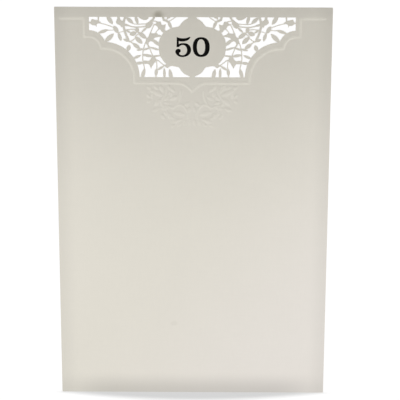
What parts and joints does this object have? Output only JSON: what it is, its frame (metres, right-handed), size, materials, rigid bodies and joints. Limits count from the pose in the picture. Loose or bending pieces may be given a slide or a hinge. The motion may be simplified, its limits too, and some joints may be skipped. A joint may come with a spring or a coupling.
{
  "type": "anniversary card",
  "caption": "Flat pearl card leaf with a pierced foliage panel round a shield and an embossed line and spray; lies face up.",
  "frame": {"origin": "middle of the card's outline, on the surface it lies on", "axes": "+X across the card to the reader's right, +Y towards the edge with the pierced panel, +Z out of the front face"},
  "size_m": [0.127, 0.185, 0.0006],
  "materials": {
    "pearl_card": "pearl satin"
  },
  "bodies": {
    "root": {"card": "pearl_card"}
  },
  "joints": []
}
